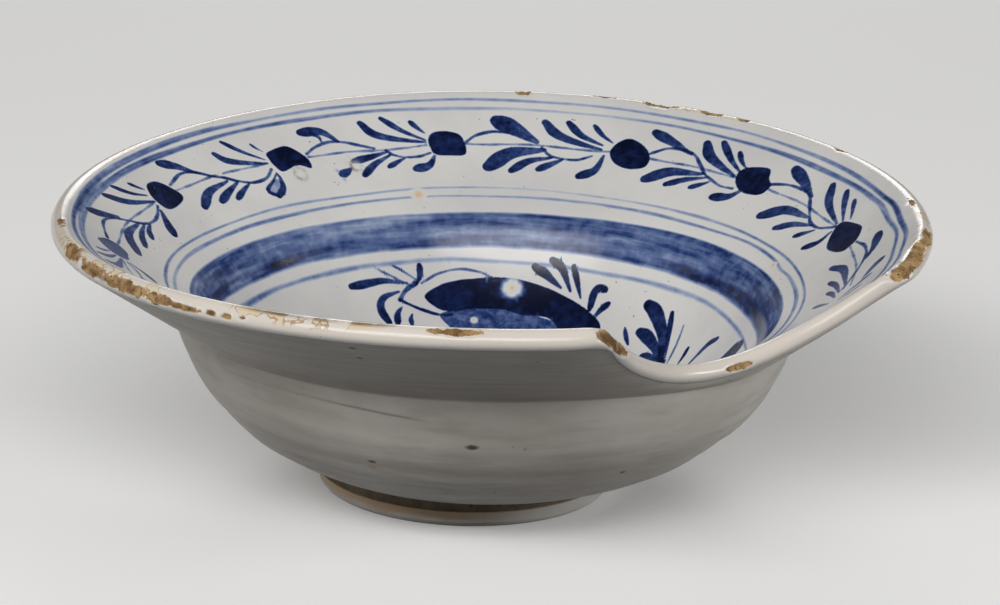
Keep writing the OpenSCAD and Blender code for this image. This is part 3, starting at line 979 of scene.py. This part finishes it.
stains = round_rim([
    (-157, 27.0, 55, 60, 0, 1.0, 0.0), (-120, 44.0, 65, 70, 0, 0.8, 0.0), (-178, 9.0, 50, 30, 0, 0.4, 0.0),
    (98, 34.0, 50, 70, 0, 0.7, 0.0), (30, 30.0, 40, 50, 0, 0.5, 0.0)])
grimes = round_rim([
    (-144.5, 1.7, 114, 15, 0, 1.0, 0.0), (-146.9, 1.9, 116, 15, 0, 1.0, 0.0),
    (-149.2, 1.3, 108, 13, 0, 1.0, 0.0), (-139, 9.0, 122, 14, 0, 0.8, 0.3),
    (-122, 13.0, 112, 20, 0, 0.7, 0.8), (-159, 29.0, 42, 30, 0, 1.0, 0.0)])
grimes += [(cut_corner, 10.2, 84, 70, 0, 1.0, 0.0)]


def worn(along, turn, patches):
    share = np.full(along.shape, -1.0)
    for patch_along, half_long, patch_turn, half_turn, _, firmness, slant in patches:
        away = (along - patch_along + edge_length / 2) % edge_length - edge_length / 2
        over = (turn - patch_turn - slant * away) / half_turn
        within = 1 - (away / half_long) ** 2 - over ** 2
        share = np.maximum(share, np.where(within > 0, firmness, max(firmness, 1)) * within)
    return share


def chip_depth(along, turn):
    depth = np.zeros(along.shape)
    for chip in chips:
        ragged = 0.25 * np.sin(along * 1.9) * np.sin(turn * 0.11 + along * 0.7)
        depth = np.maximum(depth, chip[4] * smooth(0.0, 0.4, worn(along, turn, [chip]) + ragged))
    return depth


bareness, staining, griming, lip_warmth = np.zeros((4, len(brushed)))
lip_face, lip_past = lip_frame(along_edge)[1:3]
for row, turn in enumerate(lip_turns):
    here = slice(len(sheet_plan) + row * columns, len(sheet_plan) + (row + 1) * columns)
    degrees = np.full(columns, np.degrees(turn))
    lip_warmth[here] = smooth(0, 45, degrees) * (1 - smooth(125, 165, degrees))
    bareness[here] = np.clip(0.5 + 0.6 * worn(along_edge, degrees, chips), 0, 1)
    staining[here] = np.clip(2 * worn(along_edge, degrees, stains), 0, 1)
    griming[here] = np.clip(2 * worn(along_edge, degrees, grimes), 0, 1)
    outwards = math.cos(turn) * lip_face + math.sin(turn) * lip_past
    lip_rows[row] = lip_rows[row] - chip_depth(along_edge, degrees)[:, None] * outwards

coat_points = np.vstack([sheet_vertices] + lip_rows + back_rows + [back_pole])
row_starts = [0] + [len(sheet_plan) + columns * row for row in range(len(lip_rows) + len(back_rows))]
front_rows = 1 + len(lip_rows)
coat_faces = list(sheet_faces)
coat_is_front = [True] * len(sheet_faces)
for number, (upper, lower) in enumerate(zip(row_starts, row_starts[1:])):
    for column in range(columns):
        after = (column + 1) % columns
        coat_faces.append((upper + column, lower + column, lower + after, upper + after))
        coat_is_front.append(number < front_rows - 1)
pole = len(coat_points) - 1
for column in range(columns):
    coat_faces.append((row_starts[-1] + column, pole, row_starts[-1] + (column + 1) % columns))
    coat_is_front.append(False)
coat_mesh = bpy.data.meshes.new("painted_inside")
coat_mesh.from_pydata((coat_points * MM).tolist(), [], coat_faces)
painted_inside = bpy.data.objects.new("painted_inside", coat_mesh)
bpy.context.scene.collection.objects.link(painted_inside)


# A value at each point of a mesh, for its material. Points after the last value get none.
def keep_attribute(mesh, name, values):
    kept = np.zeros(len(mesh.vertices), np.float32)
    kept[:len(values)] = values
    mesh.attributes.new(name, "FLOAT", "POINT").data.foreach_set("value", kept)


rust, blanch, burn = np.zeros((3, len(sheet_plan)))
for x, y, halo, middle in kiln_spots:
    gap = np.linalg.norm(sheet_vertices - raised(np.array([[x, y]])), axis=1)
    blanch = np.maximum(blanch, 1 - smooth(0.55 * halo, halo, gap))
    rust = np.maximum(rust, 1 - smooth(0.4 * middle, middle + 0.6, gap))
for x, y, halo in burnt_spots:
    gap = np.hypot(sheet_plan[:, 0] - x, sheet_plan[:, 1] - y)
    one_sided = 0.65 - 0.35 * (sheet_plan[:, 0] - x + sheet_plan[:, 1] - y) / (1.4 * halo)
    burnt_rim = np.exp(-((gap - 0.8 * halo) / (0.22 * halo)) ** 2) * np.clip(one_sided, 0, 1)
    burn = np.maximum(burn, burnt_rim)
    blanch = np.maximum(blanch, 0.55 * (1 - smooth(0.5 * halo, 0.9 * halo, gap)))
for name, values in (("brushed", brushed), ("turned", turned), ("bare", bareness), ("stain", staining),
                     ("grime", griming), ("lip", lip_warmth), ("rust", rust), ("blanch", blanch),
                     ("burn", burn)):
    keep_attribute(coat_mesh, name, values)

# The flat layout for baking: the inside as seen from above, with the lip unrolled around it
layout_span = 290.0
front_layout = np.vstack([sheet_plan] + lip_spread) / layout_span + 0.5
hidden_layout = coat_points[:, :2] / layout_span * 0.03 + 0.02
layout = coat_mesh.uv_layers.new(name="OFBake")
loop_vertices = np.zeros(len(coat_mesh.loops), int)
coat_mesh.loops.foreach_get("vertex_index", loop_vertices)
loop_counts = np.array([len(face) for face in coat_faces])
loop_is_front = np.repeat(np.array(coat_is_front), loop_counts)
loop_layout = hidden_layout[loop_vertices]
loop_layout[loop_is_front] = front_layout[loop_vertices[loop_is_front]]
layout.data.foreach_set("uv", loop_layout.ravel())

close_up(painted_inside)

# Tin glaze: an uneven white with cloudy patches, pinholes and a skin like orange peel
glaze_group, glaze_in, glaze_out = new_group("tin_glaze", ["White", "Cloud", "Speck"], ["Colour"],
                                             ["Roughness", "Height"])
glaze_place = object_place(glaze_group)
glaze_clouds = ramp(glaze_group, noise(glaze_group, glaze_place, 26, 4, 0.55), 0.32, 0.72)
glaze_colour = blend_colours(glaze_group, glaze_clouds, glaze_in.outputs["White"], glaze_in.outputs["Cloud"])
pinholes = ramp(glaze_group, noise(glaze_group, glaze_place, 620, 1.5, 0.5), 0.735, 0.775)
pinhole_zone = ramp(glaze_group, noise(glaze_group, glaze_place, 40, 2), 0.4, 0.6)
pinholes = times(glaze_group, pinholes, pinhole_zone)
glaze_colour = blend_colours(glaze_group, pinholes, glaze_colour, glaze_in.outputs["Speck"])
peel = noise(glaze_group, glaze_place, 150, 2, 0.5)
glaze_height = minus(glaze_group, peel, times(glaze_group, pinholes, 0.6))
glaze_gloss = stretched(glaze_group, noise(glaze_group, glaze_place, 60, 3), 0.16, 0.14)
glaze_group.links.new(glaze_colour, glaze_out.inputs["Colour"])
glaze_group.links.new(glaze_gloss, glaze_out.inputs["Roughness"])
glaze_group.links.new(glaze_height, glaze_out.inputs["Height"])


def vector_math(tree, operation, first, second=(0, 0, 0)):
    return place(tree, "ShaderNodeVectorMath", {"operation": operation}, i0=first, i1=second)


# Streaks that run round the bowl, as a loaded brush leaves them on the wheel
streak_group, _, streak_out = new_group("wheel_streaks", [], [], ["Streak"])
streak_plan = vector_math(streak_group, "MULTIPLY", object_place(streak_group), (1, 1, 0)).outputs[0]
streak_reach = vector_math(streak_group, "LENGTH", streak_plan).outputs["Value"]
streak_heading = vector_math(streak_group, "NORMALIZE", streak_plan).outputs[0]
streak_parts = place(streak_group, "ShaderNodeSeparateXYZ", None, i0=streak_heading)
streak_at = place(streak_group, "ShaderNodeCombineXYZ", None,
                  i0=times(streak_group, streak_parts.outputs[0], 4.0),
                  i1=times(streak_group, streak_parts.outputs[1], 4.0),
                  i2=times(streak_group, streak_reach, 620.0)).outputs[0]
streak_group.links.new(noise(streak_group, streak_at, 1.0, 2.5, 0.55), streak_out.inputs["Streak"])

paint_material, paint_tree, paint_shader = new_material("painted_tin_glaze")
glaze_look = place_group(paint_tree, glaze_group, White=srgb(226, 224, 219), Cloud=srgb(214, 212, 210),
                         Speck=srgb(150, 128, 104))
paint_place = object_place(paint_tree)


def painted(name):
    return place(paint_tree, "ShaderNodeAttribute", {"attribute_name": name}).outputs["Fac"]


streaks = place_group(paint_tree, streak_group).outputs["Streak"]
mottle = noise(paint_tree, paint_place, 420, 3, 0.6)
brushed_load = painted("brushed")
pooling = times(paint_tree, minus(paint_tree, mottle, 0.5), minus(paint_tree, 1.12, brushed_load))
brushed_load = times(paint_tree, brushed_load, stretched(paint_tree, pooling, 2.6, 1.0))
patches = stretched(paint_tree, noise(paint_tree, paint_place, 95, 2), 0.4, 0.78)
brushed_load = times(paint_tree, brushed_load, patches)
turned_load = times(paint_tree, painted("turned"), stretched(paint_tree, streaks, 1.8, 0.12))
dabs = stretched(paint_tree, noise(paint_tree, paint_place, 270, 2), 0.8, 0.6)
turned_load = times(paint_tree, turned_load, dabs)
cobalt = math_node(paint_tree, "MAXIMUM", brushed_load, turned_load)
unblanched = minus(paint_tree, 1.0, painted("blanch"))
cobalt = math_node(paint_tree, "MULTIPLY", cobalt, unblanched, clamp=True)
blue = paint_tree.nodes.new("ShaderNodeValToRGB")
paint_tree.links.new(cobalt, blue.inputs[0])
cobalt_tones = [(0.0, srgb(216, 219, 224)), (0.28, srgb(158, 170, 195)), (0.5, srgb(98, 117, 160)),
                (0.72, srgb(45, 66, 119)), (0.88, srgb(22, 36, 80)), (1.0, srgb(9, 16, 42))]
blue.color_ramp.elements[0].position, blue.color_ramp.elements[0].color = cobalt_tones[0]
blue.color_ramp.elements[1].position, blue.color_ramp.elements[1].color = cobalt_tones[-1]
for position, tone in cobalt_tones[1:-1]:
    blue.color_ramp.elements.new(position).color = tone
paint_colour = blend_colours(paint_tree, ramp(paint_tree, cobalt, 0.0, 0.22), glaze_look.outputs["Colour"],
                             blue.outputs["Color"])
burnt = times(paint_tree, painted("burn"), ramp(paint_tree, mottle, 0.3, 0.55))
paint_colour = blend_colours(paint_tree, burnt, paint_colour, srgb(142, 128, 98))
paint_colour = laid_over(paint_tree, paint_colour, srgb(222, 186, 130), painted("rust"), 0.75)
paint_colour = laid_over(paint_tree, paint_colour, srgb(230, 218, 204), painted("lip"), 0.7)
stain_noise = noise(paint_tree, paint_place, 110, 3, 0.55)
stained = times(paint_tree, ramp(paint_tree, stain_noise, 0.46, 0.58), painted("stain"))
paint_colour = laid_over(paint_tree, paint_colour, srgb(228, 205, 160), stained, 0.8)
stain_edge = math_node(paint_tree, "ABSOLUTE", minus(paint_tree, stain_noise, 0.5))
stain_edge = minus(paint_tree, 1.0, ramp(paint_tree, stain_edge, 0.004, 0.02))
stain_edge = times(paint_tree, stain_edge, painted("stain"))
paint_colour = laid_over(paint_tree, paint_colour, srgb(166, 124, 72), stain_edge, 0.75)
ragged = stretched(paint_tree, noise(paint_tree, paint_place, 230, 6, 0.7), 1.6, -0.8)
broken = ramp(paint_tree, plus(paint_tree, painted("bare"), ragged), 0.49, 0.53)
clay_show = place_group(paint_tree, clay_group, Pale=pale_clay, Dark=dark_clay)
paint_colour = blend_colours(paint_tree, broken, paint_colour, clay_show.outputs["Colour"])
grimy = times(paint_tree, painted("grime"), ramp(paint_tree, stain_noise, 0.36, 0.6))
paint_colour = laid_over(paint_tree, paint_colour, srgb(78, 52, 26), grimy, 0.8)
paint_roughness = math_node(paint_tree, "MAXIMUM", glaze_look.outputs["Roughness"],
                            times(paint_tree, broken, 0.85))
broken_height = times(paint_tree, broken, minus(paint_tree, clay_show.outputs["Height"], 2.2))
paint_height = plus(paint_tree, glaze_look.outputs["Height"], broken_height)
finish_shader(paint_tree, paint_shader, paint_colour, paint_roughness, paint_height, 0.35)
paint_shader.inputs["Specular IOR Level"].default_value = 0.36
coat_mesh.materials.append(paint_material)
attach(painted_inside, "root")
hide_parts("inside_glaze", "notch_glaze")

# Plain glaze outside
# The thinner, greyer coat under the flange and round the well, down to the joint of the foot. It shows
# the rings of the potter's fingers, a few burst bubbles and a wrinkle below the crease.
outside_count = 480
outside_columns = np.arange(outside_count) * edge_length / outside_count
foot_shift = -5.0
foot_joint = 45.4
wall_length = 42
broad_rings = 0.17
narrow_rings = 0.07
wrinkle_top = 50.4
wrinkle_width = 0.42


def outside_rows(along, depth, flange_shares, well_shares):
    under = lip_row(along, math.pi, depth)
    rows = flange_rows(along, under, crease_radius, flange_shares, depth, *underside)
    spoke = circle_plan(along, 1.0)
    foot_reach = foot_shift * spoke[:, 0] + np.sqrt(foot_joint ** 2 - (foot_shift * spoke[:, 1]) ** 2)
    foot_turn = -np.arccos(np.clip((foot_reach - base_flat) / outer_round, -1, 1))
    for share in well_shares:
        turn = crease_turn + (foot_turn - crease_turn) * share
        bearing = np.arctan2(spoke[:, 1], spoke[:, 0])
        rise = wall_length * (1 - share)
        finger_rings = broad_rings * np.sin(rise * 0.5 + 0.6 * np.sin(bearing))
        finger_rings = finger_rings + narrow_rings * np.sin(rise * 1.2 + 1.3)
        reach = outer_round - depth + finger_rings * np.sin(math.pi * share) * (depth == 0)
        plan = spoke * (base_flat + reach * np.cos(turn))[:, None]
        height = outer_middle + reach * np.sin(turn) + settled(*plan.T)
        rows.append(np.column_stack([plan, height]))
    return rows


coat_outer = [lip_row(outside_columns, math.radians(turn), 0.05) for turn in (166, 173)]
coat_outer += outside_rows(outside_columns, 0, [1, 0.9, 0.75, 0.6, 0.45, 0.3, 0.18, 0.08, 0.03],
                           np.concatenate([np.linspace(0, 0.34, 56), np.linspace(0.36, 1, 44)]))
coat_inner = outside_rows(outside_columns, coat, [1, 0.75, 0.5, 0.25, 0.08], np.linspace(0.0, 1, 16))
plain_outside = wrapped_sheet("plain_outside", coat_outer + coat_inner[::-1] + coat_outer[:1])
outside_places = np.zeros(len(plain_outside.data.vertices) * 3)
plain_outside.data.vertices.foreach_get("co", outside_places)
outside_places = outside_places.reshape(-1, 3) / MM
outside_turn = np.degrees(np.arctan2(outside_places[:, 0], outside_places[:, 1]))
wrinkle_height = wrinkle_top - 0.6 * ((outside_turn + 141) / 14) ** 2
wrinkle = np.exp(-((outside_places[:, 2] - wrinkle_height) / wrinkle_width) ** 2)
wrinkle = wrinkle * (outside_places[:, 1] < -40)
wrinkle = wrinkle * (0.35 + 0.65 * smooth(-146, -158, outside_turn))
wrinkle = wrinkle * smooth(-122, -132, outside_turn) * smooth(-172, -164, outside_turn)
keep_attribute(plain_outside.data, "wrinkle", wrinkle)
plain_material, plain_tree, plain_shader = new_material("plain_tin_glaze")
plain_place = object_place(plain_tree)
plain_look = place_group(plain_tree, glaze_group, White=srgb(222, 217, 209), Cloud=srgb(205, 199, 190),
                         Speck=srgb(120, 100, 78))
plain_streaks = place_group(plain_tree, streak_group).outputs["Streak"]
greyer = ramp(plain_tree, plain_streaks, 0.4, 0.72)
plain_colour = laid_over(plain_tree, plain_look.outputs["Colour"], srgb(180, 171, 161), greyer, 0.5)


# A burst bubble: how much of it lies at a place, from its middle in millimetres and its width
def burst(middle, width):
    apart = vector_math(plain_tree, "SUBTRACT", plain_place, tuple(MM * value for value in middle)).outputs[0]
    apart = vector_math(plain_tree, "MULTIPLY", apart, (1, 1, 2)).outputs[0]
    reach = vector_math(plain_tree, "LENGTH", apart).outputs["Value"]
    return minus(plain_tree, 1.0, ramp(plain_tree, reach, 0.3 * MM * width, MM * width))


# The wrinkle and the burst bubbles are painted dark brown: painted shade and dirt in their hollows
wrinkled = place(plain_tree, "ShaderNodeAttribute", {"attribute_name": "wrinkle"}).outputs["Fac"]
shaded_hollows = times(plain_tree, wrinkled, 0.5)
for middle, width in [((-2.5, -87.6, 39.8), 2.6), ((-30.9, -75.7, 30.7), 2.0), ((40.8, -66.6, 26.4), 1.6),
                      ((-35.9, -120.3, 78.8), 1.7), ((-33.9, -114.0, 74.0), 1.3)]:
    shaded_hollows = math_node(plain_tree, "MAXIMUM", shaded_hollows, burst(middle, width))
rusty = burst((-31.0, -73.5, 28.1), 2.4)
plain_colour = laid_over(plain_tree, plain_colour, srgb(206, 150, 100), rusty, 0.5)
plain_colour = laid_over(plain_tree, plain_colour, srgb(52, 42, 22), shaded_hollows, 0.92)
plain_height = minus(plain_tree, plain_look.outputs["Height"], times(plain_tree, shaded_hollows, 2.0))
plain_roughness = plus(plain_tree, plain_look.outputs["Roughness"], 0.2)
finish_shader(plain_tree, plain_shader, plain_colour, plain_roughness, plain_height, 0.4)
plain_shader.inputs["Specular IOR Level"].default_value = 0.22
plain_outside.data.materials.append(plain_material)
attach(plain_outside, "root")
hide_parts("outside_glaze")

# Glaze on the foot and the base
# The same thin coat, brushed round the foot's outer wall and left on the underside within the ring. On
# the wall it was half wiped away, so that the clay shows through it on one side.
foot_material, foot_tree, foot_shader = new_material("wiped_tin_glaze")
foot_look = place_group(foot_tree, glaze_group, White=srgb(228, 224, 217), Cloud=srgb(216, 211, 203),
                        Speck=srgb(120, 100, 78))
foot_place = object_place(foot_tree)
foot_parts = place(foot_tree, "ShaderNodeSeparateXYZ", None, i0=foot_place)
wiped_height = stretched(foot_tree, noise(foot_tree, foot_place, 90, 3), 0.0036, foot_parts.outputs[2])
wiped = times(foot_tree, ramp(foot_tree, wiped_height, 0.003, 0.0054),
              minus(foot_tree, 1.0, ramp(foot_tree, foot_parts.outputs[0], -0.012, 0.02)))
foot_colour = laid_over(foot_tree, foot_look.outputs["Colour"], srgb(222, 186, 142), wiped, 0.85)
finish_shader(foot_tree, foot_shader, foot_colour, 0.35, foot_look.outputs["Height"], 0.4)
dress("foot_glaze", foot_material)
dress("base_glaze", plain_material)

# Floor and light
# A plain pale floor under soft lamps: a large one in front, and weaker ones at each side and behind. The
# camera and the gloss see the floor pale, but it throws little light back onto the bowl.
bpy.ops.object.select_all(action="DESELECT")
bpy.ops.mesh.primitive_plane_add(size=9, location=(0, 1.5, 0))
floor = bpy.context.object
floor.name = "floor"
floor_material, floor_tree, floor_shader = new_material("floor")
seen = place(floor_tree, "ShaderNodeLightPath")
seen_plainly = math_node(floor_tree, "MAXIMUM", seen.outputs["Is Camera Ray"], seen.outputs["Is Glossy Ray"])
seen_plainly = math_node(floor_tree, "MAXIMUM", seen_plainly, seen.outputs["Is Transmission Ray"])
floor_colour = blend_colours(floor_tree, seen_plainly, srgb(48, 47, 46), srgb(240, 239, 237))
floor_tree.links.new(floor_colour, floor_shader.inputs["Base Color"])
floor_shader.inputs["Emission Color"].default_value = (1, 1, 1, 1)
floor_glow = times(floor_tree, seen_plainly, 0.14)
floor_tree.links.new(floor_glow, floor_shader.inputs["Emission Strength"])
floor_shader.inputs["Roughness"].default_value = 0.9
floor.data.materials.append(floor_material)

# Each lamp: its place, its width, its height and its power. All of them point at the bowl.
lamp_target = Vector((0, 0, 0.05))
for name, location, width, height, power in [("lamp_front", (-0.35, -1.28, 1.13), 2.0, 0.52, 25.5),
                                             ("lamp_left", (-1.58, -0.14, 0.42), 0.8, 0.3, 3.5),
                                             ("lamp_right", (1.58, -0.14, 0.42), 0.8, 0.3, 9),
                                             ("lamp_back", (0, 1.5, 0.85), 0.6, 0.6, 5.5)]:
    lamp = bpy.data.lights.new(name, "AREA")
    lamp.shape = "RECTANGLE"
    lamp.size = width
    lamp.size_y = height
    lamp.energy = power
    holder = bpy.data.objects.new(name, lamp)
    bpy.context.scene.collection.objects.link(holder)
    holder.location = location
    holder.rotation_euler = (lamp_target - Vector(location)).to_track_quat("-Z", "Y").to_euler()

# A faint white light from all round
world = bpy.data.worlds.new("studio")
bpy.context.scene.world = world
world.use_nodes = True
world.node_tree.nodes["Background"].inputs["Color"].default_value = (1, 1, 1, 1)
world.node_tree.nodes["Background"].inputs["Strength"].default_value = 0.03
